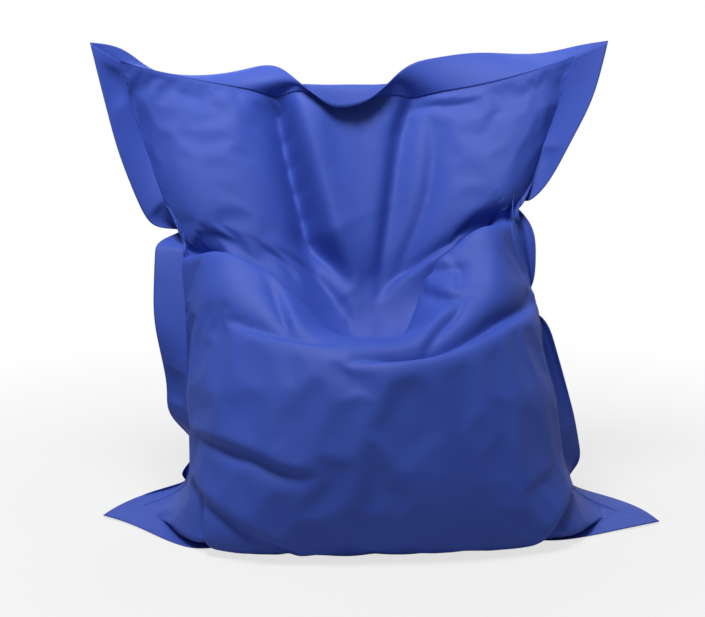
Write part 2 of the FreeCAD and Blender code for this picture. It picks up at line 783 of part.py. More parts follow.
def soft_pieces(doc, sheet, form):
    """The two panels, the four margins and the filling."""
    wall, fill_depth, floor_gap = sizes_of(sheet, "cloth_wall", "fill_depth", "fill_floor_gap")
    margin_width, thickness = sizes_of(sheet, "margin_width", "margin_thickness")
    zip_length, window_width, stop_length = sizes_of(
        sheet, "zip_length", "window_width", "stop_length"
    )
    tape_length, tape_width, gap = sizes_of(sheet, "tape_length", "tape_width", "tape_gap")
    frame = zip_place(form)
    skin = outer_skin(form, STATIONS)
    lining = skin.inset(wall, wall)
    filling = skin.inset(fill_depth, floor_gap)
    window_length = zip_length + 2 * (stop_length + WINDOW_END_GAP)
    window = box_at(frame, window_length, window_width, -WINDOW_CUT_DEPTH, WINDOW_CUT_DEPTH)
    recess_length = tape_length + 2 * RECESS_EDGE_GAP
    recess_width = 2 * (tape_width + RECESS_EDGE_GAP) + gap
    recess = box_at(frame, recess_length, recess_width, -ZIP_RECESS_DEPTH, WINDOW_CUT_DEPTH)
    shapes = {
        "front_panel": panel(skin.front, lining.front),
        "back_panel": panel(skin.back, lining.back).cut(window),
        "bead_filling": filling.block(FILL_ROWS, FILL_COLUMNS).cut(recess),
    }
    shapes.update(margins(skin, form, margin_width, thickness))
    pieces = []
    for label, shape in shapes.items():
        feature = doc.addObject("Part::Feature", label)
        feature.Label = label
        feature.Shape = shape
        feature.Placement = FreeCAD.Placement()
        pieces.append(feature)
    return pieces


def check(doc, pieces):
    """Stop at the first object that failed or has no proper shape."""
    for item in doc.Objects:
        if "Invalid" in item.State or "Error" in item.State:
            raise RuntimeError(f"{item.Label} failed: {item.State}")
    for piece in pieces:
        if piece.Shape.isNull() or not piece.Shape.isValid() or not piece.Shape.Solids:
            raise RuntimeError(f"{piece.Label} has no valid solid")


def main():
    doc = FreeCAD.newDocument("BeanBagChair")
    sheet = make_sheet(doc)
    form = Form(sheet)
    pieces = soft_pieces(doc, sheet, form) + zip_pieces(doc, sheet, form)
    doc.recompute()
    check(doc, pieces)
    os.makedirs("parts", exist_ok=True)
    for piece in pieces:
        piece.Shape.exportStep(f"parts/{piece.Label}.step")
        box = piece.Shape.BoundBox
        print(
            piece.Label,
            len(piece.Shape.Solids),
            f"{piece.Shape.Volume / 1000:.1f} cm3",
            [round(value, 1) for value in (box.XMin, box.XMax, box.YMin, box.YMax, box.ZMin, box.ZMax)],
        )


main()
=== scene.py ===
# %% [markdown]
# # A bean bag chair in coated nylon
#
# The chair is a flat pillow-shaped cover, 1.4 m by 1.8 m, with a sewn margin all
# round. Foam beads fill it loosely, and it has been set up as a seat: one end lies on
# the floor, the middle sags into a seat, and the other end stands up as a backrest.
# The lesson makes the cloth of the two panels, the margins, the stitching and the
# filling, and gives the zip its finishes. Units are metres, +Z is up and the seat
# faces -Y. The zip itself and the bodies that move come with the fixed frame, so every
# new piece is made to fit round them.

# %% Load the fixed frame
import math

import bmesh
import bpy
import numpy as np
from mathutils import Matrix, Vector


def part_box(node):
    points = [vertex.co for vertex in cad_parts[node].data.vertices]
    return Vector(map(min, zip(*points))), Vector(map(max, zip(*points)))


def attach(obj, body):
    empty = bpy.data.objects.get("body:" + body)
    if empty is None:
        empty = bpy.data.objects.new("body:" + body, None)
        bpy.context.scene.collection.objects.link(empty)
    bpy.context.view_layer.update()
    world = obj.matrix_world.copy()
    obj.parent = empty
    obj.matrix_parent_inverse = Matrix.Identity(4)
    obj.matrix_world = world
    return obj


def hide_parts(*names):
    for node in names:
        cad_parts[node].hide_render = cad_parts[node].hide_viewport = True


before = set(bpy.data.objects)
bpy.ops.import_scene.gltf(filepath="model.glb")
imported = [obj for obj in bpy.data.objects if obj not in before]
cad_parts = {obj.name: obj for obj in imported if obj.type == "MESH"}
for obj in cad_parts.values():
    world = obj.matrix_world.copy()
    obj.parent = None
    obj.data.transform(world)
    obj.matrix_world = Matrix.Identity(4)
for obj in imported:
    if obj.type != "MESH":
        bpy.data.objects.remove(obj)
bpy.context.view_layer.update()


# %% Helpers for objects and their points
def new_object(name, data):
    """An object in the scene for a mesh, a camera or a light."""
    made = bpy.data.objects.new(name, data)
    bpy.context.scene.collection.objects.link(made)
    return made


def finish_mesh(bm, name):
    """A mesh from a finished bmesh, which is then let go."""
    mesh = bpy.data.meshes.new(name)
    bm.to_mesh(mesh)
    bm.free()
    return mesh


def read_points(mesh, kind="co"):
    """The places of all vertices of a mesh, or their normals, as rows of x, y, z."""
    values = np.empty(len(mesh.vertices) * 3)
    mesh.vertices.foreach_get(kind, values)
    return values.reshape(-1, 3)


def write_points(mesh, points):
    """Move all vertices of a mesh to new places."""
    mesh.vertices.foreach_set("co", points.ravel())
    mesh.update()


# %% [markdown]
# ## The camera
#
# The chair is seen from the front and a little above its top, with a moderately long
# lens, which keeps the base and the backrest in natural proportion.

# %% Camera
CAMERA_AT = (-0.047, -3.266, 1.15)
CAMERA_DOWN = 10.8  # degrees below level
CAMERA_LENS = 67.4
camera_data = bpy.data.cameras.new("camera")
camera_data.lens = CAMERA_LENS
camera = new_object("camera", camera_data)
camera.location = CAMERA_AT
camera.rotation_euler = (math.radians(90 - CAMERA_DOWN), 0, 0)
bpy.context.scene.camera = camera
print("camera", CAMERA_AT, "with a lens of", CAMERA_LENS, "mm")

# %% [markdown]
# ## The form of the filled bag
#
# The cover is cut flat, but filled it is a fan of stations, from the bottom seam
# (station 0) to the top seam (station 8). A few guide lines hold its form: the middle
# of the front, the middle of the back, the left seam and the right seam. Between the
# stations each guide line is a smooth cubic spline, which is what a lofting batten
# would draw. Sculpting could give the same form, but guide lines keep every number
# named and easy to change, and the margins and the beads can follow the same lines.

# %% Guide lines of the bag, one value for each station
SET_BACK = 0.034  # the whole bag stands this far behind its own guide lines
FRONT_LINE = {
    "y": (-0.350, -0.410, -0.432, -0.392, -0.300, -0.130, 0.020, 0.170, 0.285),
    "z": (0.009, 0.030, 0.190, 0.392, 0.492, 0.466, 0.455, 0.715, 1.042),
}
BACK_LINE = {
    "y": (-0.350, -0.200, -0.020, 0.130, 0.226, 0.312, 0.352, 0.342, 0.285),
    "z": (0.009, 0.000, 0.000, 0.000, 0.096, 0.285, 0.500, 0.780, 1.042),
}
LEFT_SEAM = {
    "x": (-0.585, -0.500, -0.456, -0.462, -0.465, -0.470, -0.488, -0.590, -0.648),
    "y": (-0.055, -0.015, -0.050, -0.050, -0.020, 0.030, 0.100, 0.185, 0.180),
    "z": (0.014, 0.040, 0.130, 0.270, 0.410, 0.550, 0.700, 0.920, 1.137),
}
RIGHT_SEAM = {
    "x": (0.625, 0.540, 0.486, 0.466, 0.438, 0.412, 0.368, 0.452, 0.528),
    "y": (-0.100, -0.045, -0.050, -0.050, -0.020, 0.030, 0.105, 0.185, 0.180),
    "z": (0.014, 0.042, 0.130, 0.270, 0.410, 0.560, 0.775, 0.930, 1.150),
}
# The arms of the seat: how far they rise and lean back, and their form from the middle
# of the front (first) to the seam (last).
ARM_RISE = (0, 0, 0, 0.005, 0.035, 0.105, 0.150, 0.040, 0)
ARM_BACK = (0, 0, 0, 0.015, 0.030, -0.020, 0, -0.065, 0)
ARM_ACROSS = (0, 0.02, 0.24, 0.58, 0.84, 0.98, 1.0, 0.68, 0)
# How round each panel is across, and how square its front is.
FRONT_ROUND = (0, 1, 1, 1, 1, 1, 1, 0.9, 0)
FRONT_POWER = (3.4, 3.4, 2.6, 2.2, 2.0, 2.0, 2.2, 2.6, 2.0)
FRONT_EDGE_POWER = (3.2, 3.2, 3.0, 2.0, 2.0, 2.0, 2.0, 2.0, 2.0)
BASE_TURN = (0.06, 0.06, 0.04, 0.02, 0, 0, 0, 0, 0)
BACK_ROUND = (0, 0.1, 0.5, 0.9, 1, 1, 1, 1, 1)
BACK_FLAT_HALF = (0.200, 0.200, 0.200, 0.200, 0.170, 0.150, 0.160, 0.290, 0.290)
BACK_STRAIGHT = 5 / 14  # the share of the back's width that is its flat middle
LAST = 8
print("stations 0 to", LAST)


# %% A batten through a row of values
def batten(values, at, knots=None):
    """A smooth natural cubic spline through values at knots (0, 1, 2...), read at."""
    y = np.asarray(values, float)
    x = np.arange(len(y), dtype=float) if knots is None else np.asarray(knots, float)
    step = np.diff(x)
    count = len(x)
    matrix = np.eye(count)
    right = np.zeros((count,) + y.shape[1:])
    for k in range(1, count - 1):
        matrix[k, k - 1 : k + 2] = step[k - 1], 2 * (step[k - 1] + step[k]), step[k]
        right[k] = 6 * ((y[k + 1] - y[k]) / step[k] - (y[k] - y[k - 1]) / step[k - 1])
    bend = np.linalg.solve(matrix, right.reshape(count, -1)).reshape(right.shape)
    at = np.clip(np.asarray(at, float), x[0], x[-1])
    k = np.clip(np.searchsorted(x, at) - 1, 0, count - 2)
    shape = at.shape + (1,) * (y.ndim - 1)
    h = step[k].reshape(shape)
    a, b = (at - x[k]).reshape(shape), (x[k + 1] - at).reshape(shape)
    return (
        bend[k] * b**3 / (6 * h)
        + bend[k + 1] * a**3 / (6 * h)
        + (y[k] / h - bend[k] * h / 6) * b
        + (y[k + 1] / h - bend[k + 1] * h / 6) * a
    )


print("front height at station 3.5", round(float(batten(FRONT_LINE["z"], 3.5)), 3))


# %% Guide lines and seams in space
def line_at(line, station):
    """Points (x, y, z) of a guide line at an array of stations."""
    x = batten(line["x"], station) if "x" in line else np.zeros_like(station)
    y = batten(line["y"], station) + SET_BACK
    z = np.maximum(batten(line["z"], station), 0.0)
    return np.stack([x, y, z], axis=-1)


def seam_at(side, station):
    """Points of the seam on the side whose sign side has."""
    left, right = line_at(LEFT_SEAM, station), line_at(RIGHT_SEAM, station)
    return np.where((side < 0)[..., None], left, right)


def across(start, seam, share, roundness, power=2.0, edge_power=2.0):
    """From a start point (share 0) to the seam (share 1) on a quarter of an ellipse,
    squarer with more power (roundness 1), or on a plain power curve (roundness 0)."""
    ellipse = 1 - np.maximum(1 - share**power, 0) ** (1 / power)
    drop = roundness * ellipse + (1 - roundness) * share**edge_power
    way = np.stack([share, drop, drop], axis=-1)
    return start + (seam - start) * way


# %% The two forms
def front_form(station, side):
    """Points of the front panel. side runs from -1, the left seam, to 1."""
    middle = line_at(FRONT_LINE, station)
    share = np.sin(np.abs(side) * math.pi / 2)
    roundness = np.clip(batten(FRONT_ROUND, station), 0, 1)
    power, edge_power = batten(FRONT_POWER, station), batten(FRONT_EDGE_POWER, station)
    points = across(middle, seam_at(side, station), share, roundness, power, edge_power)
    points[..., 1] += batten(BASE_TURN, station) * points[..., 0] * (1 - share**4)
    bump = batten(ARM_ACROSS, share * LAST)
    points[..., 1] += batten(ARM_BACK, station) * bump
    points[..., 2] += batten(ARM_RISE, station) * bump
    return points


def back_form(station, side):
    """Points of the back panel: a straight middle and a round shoulder each side."""
    middle = line_at(BACK_LINE, station)
    on_floor = (station >= 1) & (station <= 3)
    middle[..., 2] = np.where(on_floor, 0.0, middle[..., 2])
    half = batten(BACK_FLAT_HALF, station)
    inside = np.minimum(np.abs(side) / BACK_STRAIGHT, 1)
    start = middle.copy()
    start[..., 0] = np.sign(side) * half * inside
    turn = np.clip((np.abs(side) - BACK_STRAIGHT) / (1 - BACK_STRAIGHT), 0, 1)
    roundness = np.clip(batten(BACK_ROUND, station), 0, 1)
    return across(start, seam_at(side, station), np.sin(turn * math.pi / 2), roundness)


for form in (front_form, back_form):
    print(form.__name__, "middle", form(np.array([4.0]), np.array([0.0])).round(3))


# %% Even strips of cloth
DENSE = 400


def even_stations(form, count):
    """Stations that cut the panel into strips of about the same length."""
    dense = np.linspace(0, LAST, DENSE)
    length = np.zeros(DENSE)
    for side in (-0.75, -0.45, 0.0, 0.45, 0.75):
        points = form(dense, np.full(DENSE, side))
        steps = np.linalg.norm(np.diff(points, axis=0), axis=1)
        length[1:] += np.cumsum(steps)
    return np.interp(np.linspace(0, length[-1], count), length, dense)


print("front stations", even_stations(front_form, LAST + 1).round(2))

# %% [markdown]
# ## Folds
#
# Where the bag bends, the cloth has too much length and pushes together into folds. A
# simulation makes folds of its own choosing, so the folds that give this chair its look
# are pressed in. Each is a line over the panel, marked as stations and sides. The cloth
# sinks along it with a sharp bottom, and on one side it rises and leans over the fold.
#
# The places of most marks on the front were worked out by a separate script. Those on
# the back, and every strength, depth, width and lip, were set one by one.

# %% Folds of the two panels
# Each fold is its marks (station, side, strength), its depth, its width and its lip:
# the share of the depth by which the cloth rises on one side and leans over the fold.
FRONT_FOLDS = (
    # the long fold from the top of the backrest down to the seat, left
    (
        (
            (8, -0.24, 0.5), (7.7, -0.22, 0.9), (7.1, -0.17, 1), (6.86, -0.15, 1),
            (6.7, -0.11, 0.6), (6.5, -0.06, 0),
        ),
        0.075, 0.055, 0.5,
    ),
    # its lower branch towards the left arm
    (((7.0, -0.20, 0), (6.75, -0.17, 0.7), (6.45, -0.12, 1), (6.2, -0.09, 0)), 0.016, 0.030, 0.3),
    # dimples under the long fold and at the foot of the backrest
    (((6.62, -0.24, 0.3), (6.58, -0.17, 1), (6.42, -0.12, 0)), 0.012, 0.020, 0.5),
    (((6.38, -0.08, 0.6), (6.14, -0.06, 0.6), (5.9, -0.05, 0)), 0.010, 0.018, 0.5),
    (((6.54, -0.36, 0), (6.44, -0.27, 0.8), (6.18, -0.24, 0)), 0.008, 0.020, 0.4),
    # the two soft folds of the backrest, right
    (
        (
            (8, 0.13, 1), (7.82, 0.11, 1), (7.58, 0.09, 0.8), (7.18, 0.07, 0.7),
            (6.8, 0.05, 0.5), (6.4, 0.03, 0),
        ),
        0.030, 0.050, -0.3,
    ),
    (
        (
            (7.9, 0.19, 0), (7.54, 0.21, 0.7), (7.12, 0.19, 0.8), (6.76, 0.13, 0.6),
            (6.5, 0.08, 0),
        ),
        0.018, 0.045, -0.3,
    ),
    # the fold between the left wing and the left arm
    (
        (
            (6.0, -0.92, 0.2), (5.98, -0.76, 0.6), (5.75, -0.58, 1), (5.6, -0.45, 1),
            (5.5, -0.35, 1), (5.4, -0.25, 0.8), (5.3, -0.15, 0.3),
        ),
        0.065, 0.042, -0.4,
    ),
    # the fold between the right wing and the right arm
    (
        (
            (6.3, 0.85, 0.3), (6.4, 0.63, 0.8), (6.3, 0.50, 1), (6.2, 0.39, 1), (6.1, 0.27, 1),
            (5.9, 0.20, 0.7), (5.6, 0.12, 0.2),
        ),
        0.065, 0.042, 0.4,
    ),
    # the sharp bottoms of the three long folds
    (
        (
            (7.9, -0.232, 0.5), (7.5, -0.20, 1), (7.1, -0.167, 1), (6.86, -0.147, 1),
            (6.7, -0.11, 0.3),
        ),
        0.010, 0.040, 0.3,
    ),
    (
        (
            (6.0, -0.86, 0.3), (5.98, -0.76, 0.7), (5.75, -0.58, 1), (5.6, -0.45, 1),
            (5.45, -0.36, 1), (5.2, -0.30, 0),
        ),
        0.024, 0.016, -0.5,
    ),
    (
        (
            (6.40, 0.66, 0.4), (6.3, 0.50, 1), (6.2, 0.39, 1), (6.1, 0.27, 1), (5.9, 0.19, 0),
        ),
        0.022, 0.016, 0.5,
    ),
    # the second ridge on the left arm
    (((5.3, -0.41, 0), (4.98, -0.34, 0.9), (4.38, -0.29, 1), (4.02, -0.27, 0)), 0.014, 0.018, 0.5),
    # the right wing's second fold, into the corner of the seat
    (((6.66, 0.33, 0.3), (6.62, 0.21, 1), (6.58, 0.10, 0.8), (6.38, 0.03, 0)), 0.016, 0.022, 0.5),
    # crumples on the inside of the right arm
    (((4.92, 0.36, 0), (4.6, 0.30, 0.8), (4.38, 0.25, 1), (3.80, 0.17, 0)), 0.016, 0.020, -0.5),
    (((6.00, 0.26, 0.4), (5.14, 0.31, 1), (5.02, 0.42, 0)), 0.012, 0.018, 0.5),
    (((6.40, 0.25, 0.3), (5.68, 0.36, 1), (5.48, 0.46, 0)), 0.010, 0.018, 0.5),
    (((5.92, 0.40, 0.2), (5.46, 0.39, 0.8), (4.98, 0.32, 0)), 0.009, 0.016, -0.5),
    # the crease below the top seam, right
    (((7.93, 0.17, 0.6), (7.90, 0.27, 0.9), (7.88, 0.40, 0)), 0.012, 0.018, 0.4),
    # the soft folds of the seat's rim, left, and the deep one, right
    (
        (
            (4.2, -0.55, 0), (3.98, -0.39, 0.8), (3.9, -0.24, 0.8), (3.94, -0.10, 0),
        ),
        0.014, 0.030, -0.5,
    ),
    (
        (
            (4.9, 0.80, 0.2), (4.5, 0.66, 0.6), (4.16, 0.51, 0.8), (3.84, 0.35, 0.9),
            (3.68, 0.23, 1), (3.64, 0.09, 1), (3.62, -0.07, 0),
        ),
        0.034, 0.034, 0.5,
    ),
    # creases low on the left of the belly
    (((2.54, -0.72, 0.6), (2.38, -0.55, 1), (2.26, -0.43, 0)), 0.012, 0.016, 0.5),
    (
        (
            (2.50, -0.60, 0.2), (2.30, -0.41, 1), (2.16, -0.29, 0.8), (2.10, -0.17, 0),
        ),
        0.016, 0.022, 0.5,
    ),
    # creases from the left ear under the belly
    (
        (
            (1.85, -0.75, 0.6), (1.56, -0.53, 1), (1.28, -0.38, 0.8), (0.84, -0.21, 0),
        ),
        0.016, 0.024, 0.5,
    ),
    (((1.62, -0.67, 0.6), (1.2, -0.62, 0.8), (0.76, -0.55, 0.4)), 0.014, 0.020, 0.4),
    # creases at the right ear
    (((1.6, 0.83, 0.8), (1.3, 0.66, 1), (0.8, 0.52, 0.4)), 0.018, 0.024, -0.5),
    (((1.98, 0.61, 0.6), (1.70, 0.45, 0)), 0.010, 0.030, -0.3),
)
BACK_FOLDS = (
    # creases that spread from the pinched waist, left and right
    (
        (
            (5.90, -0.92, 0.5), (5.70, -0.72, 1), (5.35, -0.52, 0.8), (5.10, -0.38, 0),
        ),
        0.011, 0.028, 0.8,
    ),
    (
        (
            (6.20, -0.90, 0.4), (6.35, -0.70, 1), (6.45, -0.50, 0.6), (6.50, -0.35, 0),
        ),
        0.012, 0.028, -0.5,
    ),
    (((6.10, 0.92, 0.5), (5.90, 0.72, 1), (5.60, 0.50, 0.8), (5.40, 0.36, 0)), 0.011, 0.028, -0.8),
    (((6.40, 0.90, 0.4), (6.50, 0.70, 1), (6.55, 0.48, 0.6), (6.50, 0.34, 0)), 0.012, 0.026, 0.5),
    # soft folds from the top corners, clear of the zip
    (
        (
            (7.80, -0.85, 0.4), (7.50, -0.68, 1), (7.20, -0.56, 0.6), (6.95, -0.46, 0),
        ),
        0.011, 0.030, 0.4,
    ),
    (((7.75, 0.85, 0.4), (7.45, 0.70, 1), (7.15, 0.58, 0.6), (6.90, 0.48, 0)), 0.011, 0.030, -0.4),
    # where the back settles on its base, and one slack fold in its middle
    (
        (
            (4.00, -0.75, 0.3), (3.75, -0.50, 1), (3.70, -0.20, 0.8), (3.75, 0.05, 0),
        ),
        0.011, 0.034, 0.4,
    ),
    (((4.15, 0.80, 0.3), (3.90, 0.58, 1), (3.80, 0.30, 0.8), (3.90, 0.10, 0)), 0.012, 0.034, 0.4),
    (((5.20, 0.20, 0), (4.90, 0.05, 0.8), (4.75, -0.15, 1), (4.80, -0.35, 0)), 0.009, 0.040, 0.3),
    (
        (
            (6.60, -0.20, 0), (6.40, -0.05, 0.8), (6.45, 0.15, 0.8), (6.65, 0.30, 0),
        ),
        0.008, 0.030, 0.3,
    ),
)


print(len(FRONT_FOLDS), "front folds,", len(BACK_FOLDS), "back folds")

# %% Press folds into the cloth
MARKS_BETWEEN = 12  # points of a fold's line for each of its marks
BANK_REACH = 0.30  # the leaning side is this share as wide as the other
SHARPNESS = 1.4
SEAM_FADE = 0.06


def fold_line(form, marks):
    """Points along a fold, close together, from its few marks."""
    marks = np.asarray(marks, float)
    knots = np.arange(len(marks))
    at = np.linspace(0, len(marks) - 1, MARKS_BETWEEN * (len(marks) - 1) + 1)
    smooth = batten(marks, at, knots)
    return form(smooth[:, 0], smooth[:, 1]), at / at[-1]


def add_folds(piece, form, folds, side_of):
    """Press the folds into a panel, along its own normals."""
    points, normals = read_points(piece.data), read_points(piece.data, "normal")
    move = np.zeros(len(points))
    for marks, depth, width, lip in folds:
        marks = np.asarray(marks, float)
        line, share = fold_line(form, marks[:, :2])
        gap, along = distance_to(points, line)
        strength = np.clip(batten(marks[:, 2], along * (len(marks) - 1)), 0, 1)
        k = np.clip((along * (len(line) - 1)).astype(int), 0, len(line) - 2)
        run = line[k + 1] - line[k]
        side = np.sign(np.einsum("ij,ij->i", np.cross(run, points - line[k]), normals))
        over = side * math.copysign(1, lip) > 0
        reach = np.where(over, BANK_REACH * width, width)
        sink = np.exp(-((gap / reach) ** SHARPNESS))
        rise = abs(lip) * (gap / width) * np.exp(1 - gap / width) * over
        move += depth * strength * (rise - sink)
    move *= np.clip((1 - np.abs(side_of)) / SEAM_FADE, 0, 1)
    write_points(piece.data, points + normals * move[:, None])


def distance_to(points, line):
    """Distance from each point to a broken line, and the share along it."""
    best = np.full(len(points), 1e9)
    share = np.zeros(len(points))
    for k in range(len(line) - 1):
        a, b = line[k], line[k + 1]
        run = b - a
        t = np.clip((points - a) @ run / max(run @ run, 1e-12), 0, 1)
        gap = np.linalg.norm(points - a - t[:, None] * run, axis=1)
        nearer = gap < best
        best = np.where(nearer, gap, best)
        share = np.where(nearer, (k + t) / (len(line) - 1), share)
    return best, share


fold_length = np.linalg.norm(
    np.diff(fold_line(front_form, np.array(FRONT_FOLDS[0][0])[:, :2])[0], axis=0), axis=1
).sum()
print("the first fold is", round(float(fold_length), 2), "m long")

# %% [markdown]
# ## The two panels
#
# Each panel is one cut of cloth. A flat grid is laid point by point on its form, so
# that its UV map stays the flat cut in metres and the weave follows the cloth. Then the
# folds are pressed in. A grid of 10 mm cells is fine enough for the folds and light
# enough to simulate.

# %% Lay a panel on its form
FLAT_WIDTH = 1.24
FLAT_LENGTH = 1.64
ACROSS_CELLS = 120
ALONG_CELLS = 160


def grid_panel(name, form, across_cells, along_cells):
    """A grid of cloth laid on a form. Its UV map is the flat cut, in metres."""
    bm = bmesh.new()
    bmesh.ops.create_grid(
        bm, x_segments=across_cells, y_segments=along_cells, size=1, calc_uvs=True
    )
    uv = bm.loops.layers.uv.verify()
    stations = even_stations(form, along_cells + 1)
    bm.verts.ensure_lookup_table()
    flat = np.array([vertex.co[:2] for vertex in bm.verts])
    station = np.interp(flat[:, 1], np.linspace(-1, 1, along_cells + 1), stations)
    placed = form(station, flat[:, 0])
    for vertex, place in zip(bm.verts, placed):
        vertex.co = place
    for face in bm.faces:
        for loop in face.loops:
            u, v = flat[loop.vert.index]
            loop[uv].uv = (u * FLAT_WIDTH / 2, v * FLAT_LENGTH / 2)
    return new_object(name, finish_mesh(bm, name)), station, flat[:, 0]


CELLS = (ACROSS_CELLS, ALONG_CELLS)
front, front_station, front_side = grid_panel("front_cloth", front_form, *CELLS)
back, back_station, back_side = grid_panel("back_cloth", back_form, *CELLS)
back.data.flip_normals()  # the same grid as the front, seen from its other side
add_folds(front, front_form, FRONT_FOLDS, front_side)
add_folds(back, back_form, BACK_FOLDS, back_side)
print("front cloth", len(front.data.vertices), "points")
middle_face = back.data.polygons[len(back.data.polygons) // 2]
print("the back's middle faces", [round(v, 2) for v in middle_face.normal])

# %% [markdown]
# ## Ripples
#
# Between its folds real cloth isn't smooth: it is a little too long everywhere, and
# bulges into low ripples over the beads. A short cloth simulation finds them. The
# threads grow by about one percent, each point is held softly where it was, and there
# is no gravity, so the form stays and only the ripples are new.


# %% Settle the cloth
def settle(piece, hold, growth, frames, cap):
    """Let cloth with a little spare length find its own ripples. hold is how firmly
    each point keeps its place, and no point moves further than cap."""
    before = read_points(piece.data)
    group = piece.vertex_groups.new(name="hold")
    for index, weight in enumerate(hold):
        group.add([index], float(weight), "REPLACE")
    cloth = piece.modifiers.new("settle", "CLOTH")
    cloth.settings.quality = 6
    cloth.settings.mass = 0.2
    cloth.settings.tension_stiffness = 30
    cloth.settings.compression_stiffness = 30
    cloth.settings.shear_stiffness = 10
    cloth.settings.bending_stiffness = 2
    cloth.settings.vertex_group_mass = "hold"
    cloth.settings.pin_stiffness = 1.0
    cloth.settings.shrink_min = -growth
    cloth.settings.effector_weights.gravity = 0
    cloth.collision_settings.use_collision = False
    cloth.point_cache.frame_start = 1
    cloth.point_cache.frame_end = frames
    for number in range(1, frames + 1):
        bpy.context.scene.frame_set(number)
    shaped = piece.evaluated_get(bpy.context.evaluated_depsgraph_get())
    after = read_points(shaped.data)
    piece.modifiers.remove(cloth)
    piece.vertex_groups.remove(group)
    bpy.context.scene.frame_set(1)
    move = after - before
    length = np.linalg.norm(move, axis=1)
    move *= (cap * np.tanh(length / cap) / np.maximum(length, 1e-9))[:, None]
    write_points(piece.data, before + move)
    most, mean = round(float(length.max()) * 1000), round(float(length.mean()) * 1000, 1)
    print(piece.name, "was moved by up to", most, "mm, and", mean, "mm on average")


# %% Hold and join the seams
SOFT_HOLD = 0.12


def hold_weights(station, side):
    """Firm at the seams, and soft in the rest of the panel."""
    edge = np.minimum(1 - np.abs(side), np.minimum(station, LAST - station) / 3)
    return np.where(edge < 0.01, 1.0, SOFT_HOLD)


def points_of(piece):
    """The points of a panel, in rows across it."""
    return read_points(piece.data).reshape(ALONG_CELLS + 1, ACROSS_CELLS + 1, 3)


def join_seams(piece, master, rows):
    """Bring a panel's edges onto the other panel's seams, over a few rows of cloth."""
    mine, theirs = points_of(piece), points_of(master)
    fade = np.clip(1 - np.arange(max(mine.shape)) / rows, 0, 1) ** 2
    for near, far, step in (
        (mine[0], theirs[0], (0, 1)),
        (mine[-1], theirs[-1], (0, -1)),
        (mine[:, 0], theirs[:, 0], (1, 1)),
        (mine[:, -1], theirs[:, -1], (1, -1)),
    ):
        gap = (far - near).copy()
        for k in range(rows):
            at = k * step[1] if step[1] > 0 else -1 - k
            if step[0] == 0:
                mine[at] += gap * fade[k]
            else:
                mine[:, at] += gap * fade[k]
    write_points(piece.data, mine)


join_seams(back, front, rows=8)
front_hold = hold_weights(front_station, front_side)
back_hold = hold_weights(back_station, back_side)
settle(front, front_hold, growth=0.014, frames=12, cap=0.012)
settle(back, back_hold, growth=0.010, frames=12, cap=0.006)

# %% [markdown]
# ## The opening for the zip
#
# A zip runs across the back below the top seam, to fill the cover. Its two tapes are
# sewn behind the cloth, so the cloth there lies flat on them, and a narrow window
# between the tapes leaves the chain of teeth and the slider free. A Boolean modifier
# could cut the window, but on an open sheet four cuts with a plane are cleaner.

# %% Find the zip
tape_middles = [
    (Vector(low) + Vector(high)) / 2
    for low, high in map(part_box, ("zip_tape_lower", "zip_tape_upper"))
]
zip_middle = (tape_middles[0] + tape_middles[1]) / 2
zip_up = (tape_middles[1] - tape_middles[0]).normalized()
zip_out = Vector((-1, 0, 0)).cross(zip_up)


def in_zip_frame(points):
    """Along the zip, up the back, and out of the cloth."""
    away = points - np.array(zip_middle)
    return away[..., 0], away @ np.array(zip_up), away @ np.array(zip_out)


print("zip middle", [round(v, 3) for v in zip_middle])

# %% Lay the back on the zip
CLOTH_ABOVE_TAPES = 0.0013
LAID_OVER = (0.272, 0.026)  # half of the flat place, along and up
FADE_OVER = 0.08
laid = points_of(back)
along, up, out = in_zip_frame(laid)
beyond = np.hypot(
    np.maximum(np.abs(along) - LAID_OVER[0], 0), np.maximum(np.abs(up) - LAID_OVER[1], 0)
)
hold = np.clip(1 - beyond / FADE_OVER, 0, 1)
hold = hold**2 * (3 - 2 * hold)
hold[np.abs(out) > FADE_OVER] = 0
laid += np.array(zip_out) * ((CLOTH_ABOVE_TAPES - out) * hold)[..., None]
laid[..., 2] = np.maximum(laid[..., 2], 0.0)  # the base stays on the floor
write_points(back.data, laid)
print("the back is flat over", LAID_OVER, "m each way")

# %% Cut the window
WINDOW = (0.492, 0.0156)
ZIP_NEAR = (0.27, 0.03)  # faces further off than this are left alone
bm = bmesh.new()
bm.from_mesh(back.data)
for normal, half in ((Vector((1, 0, 0)), WINDOW[0] / 2), (zip_up, WINDOW[1] / 2)):
    for sign in (-1, 1):
        near = []
        for face in bm.faces:
            along, up, out = in_zip_frame(np.array(face.calc_center_median()))
            if abs(along) < ZIP_NEAR[0] and max(abs(up), abs(out)) < ZIP_NEAR[1]:
                near.append(face)
        edges = {edge for face in near for edge in face.edges}
        corners = {vertex for face in near for vertex in face.verts}
        bmesh.ops.bisect_plane(
            bm,
            geom=[*near, *edges, *corners],
            plane_co=zip_middle + normal * sign * half,
            plane_no=normal,
        )
inside = []
for face in bm.faces:
    along, up, out = in_zip_frame(np.array(face.calc_center_median()))
    if abs(along) < WINDOW[0] / 2 and abs(up) < WINDOW[1] / 2 and abs(out) < ZIP_NEAR[1]:
        inside.append(face)
bmesh.ops.delete(bm, geom=inside, context="FACES")
bm.to_mesh(back.data)
bm.free()
print("window of", WINDOW, "m cut out of", len(inside), "faces")
